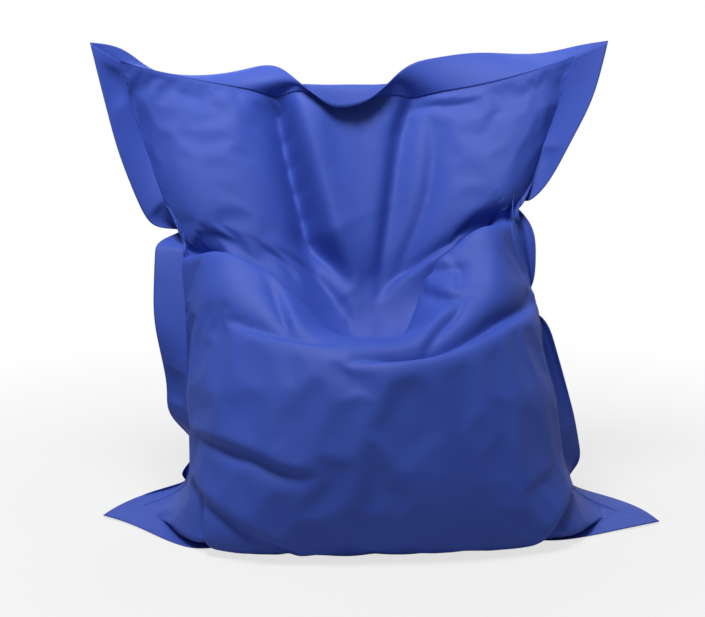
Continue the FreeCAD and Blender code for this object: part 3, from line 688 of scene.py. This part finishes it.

# %% [markdown]
# ## The margins
#
# Outside the seam the two panels are sewn flat together into a margin 80 mm wide. It
# stands free, so it flops, waves and folds back where the bag bends. Each margin is
# a strip from the seam to its own outer edge, and each outer edge is a listed line,
# because how the flaps fall is what gives the chair its outline. At the bottom the two
# ends stand out as ears, and the strip between them is tucked under the bag.

# %% Outer edges of the margins: station, then x, y, z
LEFT_EDGE = (
    (0, -0.680, -0.105, 0.006),
    (0.3, -0.650, -0.050, 0.012),
    (0.7, -0.570, 0.010, 0.030),
    (1.1, -0.490, 0.030, 0.050),
    (1.5, -0.492, 0.010, 0.080),
    (1.9, -0.462, 0.020, 0.125),
    (2.3, -0.470, 0.010, 0.180),
    (2.6, -0.508, 0.000, 0.228),
    (3.2, -0.525, 0.000, 0.310),
    (4, -0.546, 0.005, 0.440),
    (5, -0.558, 0.040, 0.560),
    (5.6, -0.558, 0.080, 0.650),
    (5.85, -0.535, 0.120, 0.685),
    (6, -0.498, 0.160, 0.700),
    (6.15, -0.535, 0.145, 0.707),
    (6.4, -0.580, 0.130, 0.730),
    (6.7, -0.608, 0.128, 0.785),
    (7, -0.640, 0.128, 0.872),
    (7.5, -0.676, 0.135, 1.000),
    (8, -0.720, 0.150, 1.186),
)
RIGHT_EDGE = (
    (0, 0.722, -0.150, 0.006),
    (0.3, 0.690, -0.080, 0.014),
    (0.7, 0.610, 0.010, 0.020),
    (1.1, 0.528, 0.030, 0.045),
    (1.6, 0.540, 0.010, 0.105),
    (2.1, 0.541, 0.005, 0.165),
    (2.7, 0.524, 0.000, 0.245),
    (3.3, 0.503, 0.000, 0.320),
    (3.9, 0.470, 0.005, 0.430),
    (4.35, 0.436, 0.030, 0.495),
    (4.6, 0.408, 0.070, 0.515),
    (5, 0.420, 0.080, 0.570),
    (5.4, 0.428, 0.090, 0.650),
    (5.75, 0.405, 0.130, 0.740),
    (5.95, 0.372, 0.165, 0.778),
    (6.1, 0.395, 0.150, 0.780),
    (6.35, 0.420, 0.135, 0.785),
    (6.7, 0.465, 0.130, 0.836),
    (7, 0.515, 0.130, 0.930),
    (7.5, 0.572, 0.135, 1.053),
    (8, 0.608, 0.150, 1.190),
)
BOTTOM_EDGE = (
    (0, -0.680, -0.105, 0.006),
    (1.0, -0.560, -0.205, 0.004),
    (1.7, -0.430, -0.320, 0.002),
    (2.3, -0.330, -0.300, 0.002),
    (3.0, -0.180, -0.272, 0.002),
    (4.0, 0.010, -0.270, 0.002),
    (5.0, 0.200, -0.265, 0.002),
    (5.8, 0.350, -0.262, 0.002),
    (6.4, 0.450, -0.270, 0.002),
    (7.1, 0.590, -0.215, 0.004),
    (8, 0.722, -0.150, 0.006),
)
TOP_EDGE = (
    (0, -0.720, 0.150, 1.186),
    (0.25, -0.680, 0.170, 1.181),
    (0.5, -0.640, 0.195, 1.166),
    (0.8, -0.595, 0.230, 1.130),
    (1.1, -0.545, 0.265, 1.104),
    (1.6, -0.440, 0.305, 1.098),
    (2.1, -0.330, 0.320, 1.118),
    (2.6, -0.245, 0.300, 1.122),
    (2.9, -0.195, 0.250, 1.090),
    (3.3, -0.130, 0.225, 1.038),
    (3.8, -0.070, 0.220, 1.018),
    (4.2, 0.000, 0.225, 1.040),
    (4.7, 0.080, 0.265, 1.112),
    (5.3, 0.170, 0.300, 1.146),
    (6, 0.290, 0.315, 1.160),
    (7, 0.460, 0.270, 1.160),
    (7.5, 0.540, 0.205, 1.178),
    (8, 0.608, 0.150, 1.190),
)
TOP_RIDGE = (0, 0, 0, 0, 0, 0, 0, 0, 0.010, 0.030, 0.045, 0.035, 0.006, 0, 0, 0, 0, 0)
MARGIN_CELLS = 8
MARGIN_WIDTH = 0.080
MARGIN_ABOVE_FLOOR = 0.002
print("marks on the left and right edges", len(LEFT_EDGE), len(RIGHT_EDGE))


# %% A strip from the seam to its outer edge
def margin_strip(name, seam, edge, cells, bow, ridge=None):
    """A strip from a seam line to the outer edge. bow brings its middle forwards, and
    ridge lifts it where the strip stands up and rolls over."""
    bm = bmesh.new()
    bmesh.ops.create_grid(bm, x_segments=MARGIN_CELLS, y_segments=cells, size=1, calc_uvs=True)
    uv = bm.loops.layers.uv.verify()
    bm.verts.ensure_lookup_table()
    flat = np.array([vertex.co[:2] for vertex in bm.verts])
    share = (flat[:, 0] + 1) / 2
    station = (flat[:, 1] + 1) / 2 * LAST
    edge = np.asarray(edge)
    inner = seam(station)
    outer = batten(edge[:, 1:], station, edge[:, 0]) + np.array([0, SET_BACK, 0])
    gap = np.linalg.norm(outer - inner, axis=1)
    placed = inner + (outer - inner) * share[:, None]
    spare = np.sqrt(np.maximum(MARGIN_WIDTH**2 - gap**2, 0)) / 2
    placed[:, 1] += bow * spare * np.sin(share * math.pi)
    if ridge is not None:
        lift = batten(ridge, station, edge[:, 0])
        placed[:, 2] += lift * np.sin(share * math.pi)
    placed[:, 2] = np.maximum(placed[:, 2], MARGIN_ABOVE_FLOOR)
    for vertex, place in zip(bm.verts, placed):
        vertex.co = place
    for face in bm.faces:
        for loop in face.loops:
            u, v = flat[loop.vert.index]
            loop[uv].uv = (u * MARGIN_WIDTH / 2, v * FLAT_LENGTH / 2)
    return new_object(name, finish_mesh(bm, name))


def seam_line(kind):
    """The seam that a margin stands on, as a function of its stations."""
    grid = points_of(front)
    if kind in ("left", "right"):
        row = grid[:, 0] if kind == "left" else grid[:, -1]
        knots = front_station.reshape(grid.shape[:2])[:, 0]
    else:
        row = grid[0] if kind == "bottom" else grid[-1]
        knots = (front_side.reshape(grid.shape[:2])[0] + 1) / 2 * LAST
    return lambda station: np.stack(
        [np.interp(station, knots, row[:, axis]) for axis in range(3)], axis=-1
    )


# %% The four margins
SIDE_BOW = 0.9  # the share of its spare width by which a side margin bows
margins = {
    "left": margin_strip("left_flap", seam_line("left"), LEFT_EDGE, ALONG_CELLS, SIDE_BOW),
    "right": margin_strip("right_flap", seam_line("right"), RIGHT_EDGE, ALONG_CELLS, SIDE_BOW),
    "bottom": margin_strip("bottom_flap", seam_line("bottom"), BOTTOM_EDGE, ACROSS_CELLS, 0),
    "top": margin_strip("top_flap", seam_line("top"), TOP_EDGE, ACROSS_CELLS, 0, TOP_RIDGE),
}
print("margins", list(margins))

# %% [markdown]
# ## What the cloth belongs to
#
# All the cloth rides on the bag, and each piece takes the place of the plain solid of
# the same part.

for piece in (front, back, *margins.values()):
    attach(piece, "bag")
    for face in piece.data.polygons:
        face.use_smooth = True
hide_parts("front_panel")
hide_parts("back_panel")
for kind, piece in margins.items():
    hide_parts(kind + "_margin")
print("sheets", [front.name, back.name, *(piece.name for piece in margins.values())])

# %% [markdown]
# ## Thickness
#
# The front is smoothed once more by a Subdivision Surface, which keeps the sharp
# corners where the margins meet. The margins also get a Solidify modifier, because
# their cut edge shows the thickness of two layers.

# %% Smooth the cloth and double the margins
TWO_LAYERS = 0.0018
for piece in (front, *margins.values()):
    smoothed = piece.modifiers.new("smooth", "SUBSURF")
    smoothed.levels = smoothed.render_levels = 1
    smoothed.boundary_smooth = "PRESERVE_CORNERS"
    if piece is not front:
        doubled = piece.modifiers.new("two_layers", "SOLIDIFY")
        doubled.thickness = TWO_LAYERS
        doubled.offset = 0.0
print("margins", TWO_LAYERS * 1000, "mm thick")

# %% [markdown]
# ## The cloth
#
# The cover is a coated nylon: a fine dense plain weave, coated so that it is tight and
# wipes clean. It is matt with a low broad sheen, and an even deep blue. Its threads
# cross at right angles, so the bump is the higher of two wave textures on the UV map.
# Two noises on the object's own coordinates give a slight change of colour and the
# finest creases.


# %% Colours and nodes
def colour(code):
    """A linear colour from an sRGB hex code."""
    parts = [int(code[k : k + 2], 16) / 255 for k in (1, 3, 5)]
    linear = [p / 12.92 if p <= 0.04045 else ((p + 0.055) / 1.055) ** 2.4 for p in parts]
    return (*linear, 1.0)


def node(tree, kind, inputs=None, **settings):
    """Add a node with its settings, its constant inputs and its links."""
    made = tree.nodes.new(kind)
    for name, value in settings.items():
        setattr(made, name, value)
    for name, value in (inputs or {}).items():
        if isinstance(value, bpy.types.NodeSocket):
            tree.links.new(value, made.inputs[name])
        else:
            made.inputs[name].default_value = value
    return made


def new_material(name):
    """A material with an empty node tree."""
    material = bpy.data.materials.new(name)
    material.use_nodes = True
    tree = material.node_tree
    tree.nodes.clear()
    return material, tree


print("blue in linear light", [round(v, 3) for v in colour("#294199")])

# %% Coated nylon, plain weave
THREAD_PITCH = 0.0012  # the real pitch is 0.35 mm, drawn coarser so that it shows
WAVE_PERIOD = 0.314  # metres between the bands of a wave texture at scale 1
coated_nylon, tree = new_material("coated_nylon_plain_weave")
cloth_uv = node(tree, "ShaderNodeTexCoord")
place = node(tree, "ShaderNodeTexCoord")
clouds = node(
    tree, "ShaderNodeTexNoise", {"Vector": place.outputs["Object"], "Scale": 5.0, "Detail": 3.0}
)
tint = node(
    tree,
    "ShaderNodeMix",
    {0: clouds.outputs["Fac"], 6: colour("#294199"), 7: colour("#324CA8")},
    data_type="RGBA",
)
threads = []
for direction in ("X", "Y"):
    threads.append(
        node(
            tree,
            "ShaderNodeTexWave",
            {"Vector": cloth_uv.outputs["UV"], "Scale": WAVE_PERIOD / THREAD_PITCH},
            bands_direction=direction,
        )
    )
weave = node(
    tree,
    "ShaderNodeMath",
    {0: threads[0].outputs["Fac"], 1: threads[1].outputs["Fac"]},
    operation="MAXIMUM",
)
creases = node(
    tree,
    "ShaderNodeTexNoise",
    {"Vector": place.outputs["Object"], "Scale": 22.0, "Detail": 4.0, "Roughness": 0.55},
)
fine = node(
    tree,
    "ShaderNodeBump",
    {"Height": creases.outputs["Fac"], "Strength": 0.18, "Distance": 0.004},
)
bump = node(
    tree,
    "ShaderNodeBump",
    {"Height": weave.outputs[0], "Strength": 0.25, "Distance": 0.0003, "Normal": fine.outputs[0]},
)
shader = node(
    tree,
    "ShaderNodeBsdfPrincipled",
    {
        "Base Color": tint.outputs[2],
        "Roughness": 0.62,
        "Specular IOR Level": 0.28,
        "Sheen Weight": 0.05,
        "Sheen Roughness": 0.4,
        "Sheen Tint": colour("#8FA4E8"),
        "Normal": bump.outputs[0],
    },
)
node(tree, "ShaderNodeOutputMaterial", {"Surface": shader.outputs["BSDF"]})
for piece in (front, back, *margins.values()):
    piece.data.materials.append(coated_nylon)
print(coated_nylon.name, "with", len(tree.nodes), "nodes")

# %% [markdown]
# ## The stitching
#
# One row of stitches runs round the cover on each side, just outside the seam, where
# it closes the two layers of the margin. Each stitch is 4.4 mm long. There are about
# 1700 in all, so each one is a small block with six faces.

# %% Rows of stitches
STITCH = (0.0044, 0.0011, 0.0009)
STITCH_PITCH = 0.0062
STITCH_FROM_SEAM = 0.007
STITCH_LIFT = 0.0012  # from the middle of the margin's thickness
bm = bmesh.new()
stitch_count = 0
for piece in margins.values():
    grid = read_points(piece.data).reshape(-1, MARGIN_CELLS + 1, 3)
    widths = np.linalg.norm(grid[:, 1] - grid[:, 0], axis=1)[:, None]
    shift = np.minimum(STITCH_FROM_SEAM / np.maximum(widths, 1e-4), 0.9)
    line = grid[:, 0] + (grid[:, 1] - grid[:, 0]) * shift
    run = np.concatenate([[0], np.cumsum(np.linalg.norm(np.diff(line, axis=0), axis=1))])
    stops = np.arange(STITCH_PITCH, run[-1] - STITCH_PITCH, STITCH_PITCH)
    centre = np.stack([np.interp(stops, run, line[:, axis]) for axis in range(3)], axis=-1)
    across_line = np.stack(
        [np.interp(stops, run, (grid[:, 1] - grid[:, 0])[:, axis]) for axis in range(3)], axis=-1
    )
    for at, way, side in zip(centre, np.gradient(centre, axis=0), across_line):
        along = Vector(way).normalized()
        out = along.cross(Vector(side)).normalized()
        turn = Matrix((along, out.cross(along), out)).transposed().to_4x4()
        for face_sign in (-1, 1):
            spot = Matrix.Translation(Vector(at) + out * face_sign * STITCH_LIFT)
            place = spot @ turn @ Matrix.Diagonal((*STITCH, 1))
            bmesh.ops.create_cube(bm, size=1, matrix=place)
            stitch_count += 1
stitches = new_object("stitches", finish_mesh(bm, "stitches"))
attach(stitches, "bag")
print(stitch_count, "stitches")

# %% [markdown]
# ## The filling
#
# Foam beads fill the cover from the base up into the wings, but not into the sewn
# edges. Modelled bead by bead they would be millions of spheres that nobody sees, so
# they are one closed mass. It takes the form of the inside of the cover, on a coarser
# grid and some way within it, so that no bead shows through a fold.

# %% Measures of the filling
COARSE = 4  # every so many cells of the panels
BEAD_GAP = 0.030
FOLD_REACH = 0.060  # how far to each side a point looks for folds of its own panel
FOLD_DEPTH = 0.14
FRONT_MOST, BOTH_MOST = 0.80, 0.95  # shares of the room between the two panels
FILLED_ROWS, FILLED_COLUMNS = slice(4, -4), slice(6, -6)
BEADS_ABOVE_FLOOR = 0.004


def grid_faces(bm, grid):
    """Vertices and quads of a grid of points."""
    rows = [[bm.verts.new(place) for place in row] for row in grid]
    for low, high in zip(rows, rows[1:]):
        for j in range(len(low) - 1):
            bm.faces.new((low[j], low[j + 1], high[j + 1], high[j]))
    return rows


print("beads stay", BEAD_GAP * 1000, "mm behind the deepest fold")

# %% Close the mass of beads round its edges
bm = bmesh.new()
front_rows = grid_faces(bm, points_of(front)[::COARSE, ::COARSE][FILLED_ROWS, FILLED_COLUMNS])
back_rows = grid_faces(bm, laid[::COARSE, ::COARSE][FILLED_ROWS, FILLED_COLUMNS])
borders = [
    (front_rows[0], back_rows[0]),
    (front_rows[-1], back_rows[-1]),
    ([row[0] for row in front_rows], [row[0] for row in back_rows]),
    ([row[-1] for row in front_rows], [row[-1] for row in back_rows]),
]
for one, other in borders:
    for j in range(len(one) - 1):
        bm.faces.new((one[j], one[j + 1], other[j + 1], other[j]))
bmesh.ops.recalc_face_normals(bm, faces=bm.faces)
print("beads", len(bm.verts), "points")

# %% Draw the beads in behind the folds
# Each point moves in towards its partner on the other panel, past every point of its
# own panel close beside that line, so that the beads fill no fold.
covers = (points_of(front).reshape(-1, 3), laid.reshape(-1, 3))
moves = []
for pair_rows in zip(front_rows, back_rows):
    for pair in zip(*pair_rows):
        places = [np.array(vertex.co) for vertex in pair]
        most = FRONT_MOST
        for own, vertex in enumerate(pair):
            way = places[1 - own] - places[own]
            room = np.linalg.norm(way)
            way /= room
            away = covers[own] - places[own]
            depth = away @ way
            aside = np.linalg.norm(away - depth[:, None] * way, axis=1)
            deepest = depth[(aside < FOLD_REACH) & (depth < FOLD_DEPTH)].max()
            inward = min(deepest + BEAD_GAP, most * room)
            moves.append((vertex, way * inward))
            most = BOTH_MOST - inward / room
for vertex, move in moves:
    vertex.co += Vector(move)
    vertex.co.z = max(vertex.co.z, BEADS_ABOVE_FLOOR)
bead_volume = bm.calc_volume()
bead_mass = new_object("bead_mass", finish_mesh(bm, "bead_mass"))
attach(bead_mass, "bag")
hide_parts("bead_filling")
for face in bead_mass.data.polygons:
    face.use_smooth = True
print("beads fill", round(bead_volume * 1000), "litres")

# %% [markdown]
# ## Other finishes
#
# The beads are expanded polystyrene: white, matt and pebbled. The zip is a moulded
# one: woven polyester tapes, acetal teeth and a plated zinc slider. The zip's solids
# are right as they are, so they keep their shapes and only get these finishes.

# %% Expanded polystyrene beads
expanded_beads, tree = new_material("expanded_polystyrene_beads")
place = node(tree, "ShaderNodeTexCoord")
# Beads 4 mm across: the cells of a Voronoi texture at 250 to the metre.
beads = node(tree, "ShaderNodeTexVoronoi", {"Vector": place.outputs["Object"], "Scale": 250.0})
pebbles = node(
    tree,
    "ShaderNodeBump",
    {"Height": beads.outputs["Distance"], "Strength": 0.6, "Distance": 0.002},
)
pebbles.invert = True
shader = node(
    tree,
    "ShaderNodeBsdfPrincipled",
    {"Base Color": colour("#F1F1EE"), "Roughness": 0.75, "Normal": pebbles.outputs[0]},
)
node(tree, "ShaderNodeOutputMaterial", {"Surface": shader.outputs["BSDF"]})
bead_mass.data.materials.append(expanded_beads)
print(expanded_beads.name)

# %% Woven polyester tape
RIB_PITCH = 0.0006
tape_weave, tree = new_material("woven_polyester_tape")
place = node(tree, "ShaderNodeTexCoord")
# Ribs run along the tape, one to each of its thicker threads.
ribs = node(
    tree,
    "ShaderNodeTexWave",
    {"Vector": place.outputs["Object"], "Scale": WAVE_PERIOD / RIB_PITCH},
    bands_direction="Z",
)
ribbing = node(
    tree,
    "ShaderNodeBump",
    {"Height": ribs.outputs["Fac"], "Strength": 0.5, "Distance": 0.0002},
)
shader = node(
    tree,
    "ShaderNodeBsdfPrincipled",
    {"Base Color": colour("#24388F"), "Roughness": 0.8, "Normal": ribbing.outputs[0]},
)
node(tree, "ShaderNodeOutputMaterial", {"Surface": shader.outputs["BSDF"]})
print(tape_weave.name)

# %% Moulded, plated and spun finishes
GLOSS_UNEVEN = 0.06


def plain_finish(name, code, roughness, metallic=0.0):
    """A finish with one colour and a fine unevenness of its gloss."""
    material, tree = new_material(name)
    place = node(tree, "ShaderNodeTexCoord")
    uneven = node(
        tree, "ShaderNodeTexNoise", {"Vector": place.outputs["Object"], "Scale": 900.0}
    )
    gloss = node(
        tree,
        "ShaderNodeMapRange",
        {
            "Value": uneven.outputs["Fac"],
            3: roughness - GLOSS_UNEVEN,
            4: roughness + GLOSS_UNEVEN,
        },
    )
    shader = node(
        tree,
        "ShaderNodeBsdfPrincipled",
        {"Base Color": colour(code), "Roughness": gloss.outputs[0], "Metallic": metallic},
    )
    node(tree, "ShaderNodeOutputMaterial", {"Surface": shader.outputs["BSDF"]})
    return material


moulded_acetal = plain_finish("moulded_acetal", "#22357F", 0.38)
plated_zinc = plain_finish("plated_zinc", "#B9BCC2", 0.28, 1.0)
sewing_thread = plain_finish("spun_polyester_thread", "#3A56C2", 0.65)
for finish, names in (
    (tape_weave, ("zip_tape_lower", "zip_tape_upper")),
    (moulded_acetal, ("zip_teeth_lower", "zip_teeth_upper")),
    (plated_zinc, ("zip_slider", "zip_end_stop", "zip_top_stop_lower", "zip_top_stop_upper")),
):
    for name in names:
        for slot in bpy.data.objects[name].material_slots:
            slot.link = "OBJECT"
            slot.material = finish
stitches.data.materials.append(sewing_thread)
print("finishes", [material.name for material in bpy.data.materials])

# %% [markdown]
# ## The studio
#
# A plain pale floor, one soft key light high in front on the left, a weak one behind,
# and a white world. The light is kept at a plain level, so that a colour renders about
# as it is written, and the white of the background comes from what the camera sees of
# the floor and the world, not from more light.

# %% Floor
bm = bmesh.new()
bmesh.ops.create_grid(bm, x_segments=1, y_segments=1, size=8)
floor = new_object("floor", finish_mesh(bm, "floor"))
floor_finish, tree = new_material("pale_studio_floor")
# The floor is matt and pale. To the camera it is mostly plain white, so that only a
# soft part of the shadow shows, and it fades to full white with distance.
place = node(tree, "ShaderNodeTexCoord")
reach = node(tree, "ShaderNodeVectorMath", {0: place.outputs["Object"]}, operation="LENGTH")
fade = node(
    tree,
    "ShaderNodeMapRange",
    {"Value": reach.outputs["Value"], 1: 0.7, 2: 2.2, 3: 0.72, 4: 1.0},
)
rays = node(tree, "ShaderNodeLightPath")
seen = node(
    tree,
    "ShaderNodeMath",
    {0: rays.outputs["Is Camera Ray"], 1: fade.outputs[0]},
    operation="MULTIPLY",
)
matt = node(
    tree, "ShaderNodeBsdfPrincipled", {"Base Color": colour("#C0C0C0"), "Roughness": 0.9}
)
white = node(tree, "ShaderNodeEmission", {"Color": (1, 1, 1, 1), "Strength": 1.0})
mix = node(
    tree,
    "ShaderNodeMixShader",
    {0: seen.outputs[0], 1: matt.outputs["BSDF"], 2: white.outputs[0]},
)
node(tree, "ShaderNodeOutputMaterial", {"Surface": mix.outputs[0]})
floor.data.materials.append(floor_finish)
print(floor_finish.name)


# %% Lamps
def area_light(name, at, towards, size, watts):
    """A square soft light that points at a place."""
    data = bpy.data.lights.new(name, "AREA")
    data.size = size
    data.energy = watts
    lamp = new_object(name, data)
    lamp.location = at
    lamp.rotation_euler = (Vector(towards) - Vector(at)).to_track_quat("-Z", "Y").to_euler()
    print(name, watts, "W")


area_light("key_light", (-0.50, -0.70, 3.1), (0, 0.1, 0.7), 1.1, 94)
area_light("back_light", (0.4, 3.2, 3.0), (0, 0.3, 0.7), 2.0, 40)

# %% World
world = bpy.data.worlds.new("studio")
world.use_nodes = True
tree = world.node_tree
tree.nodes.clear()
rays = node(tree, "ShaderNodeLightPath")
# White to the camera, and behind anything polished or clear, but soft as a light.
plain = rays.outputs["Is Camera Ray"]
for kind in ("Is Glossy Ray", "Is Transmission Ray"):
    higher = node(tree, "ShaderNodeMath", {0: plain, 1: rays.outputs[kind]}, operation="MAXIMUM")
    plain = higher.outputs[0]
soft = node(tree, "ShaderNodeBackground", {"Color": (1, 1, 1, 1), "Strength": 0.17})
white = node(tree, "ShaderNodeBackground", {"Color": (1, 1, 1, 1), "Strength": 1.0})
mix = node(tree, "ShaderNodeMixShader", {0: plain, 1: soft.outputs[0], 2: white.outputs[0]})
node(tree, "ShaderNodeOutputWorld", {"Surface": mix.outputs[0]})
bpy.context.scene.world = world
bpy.context.scene.view_settings.view_transform = "Standard"
print("world", world.name)
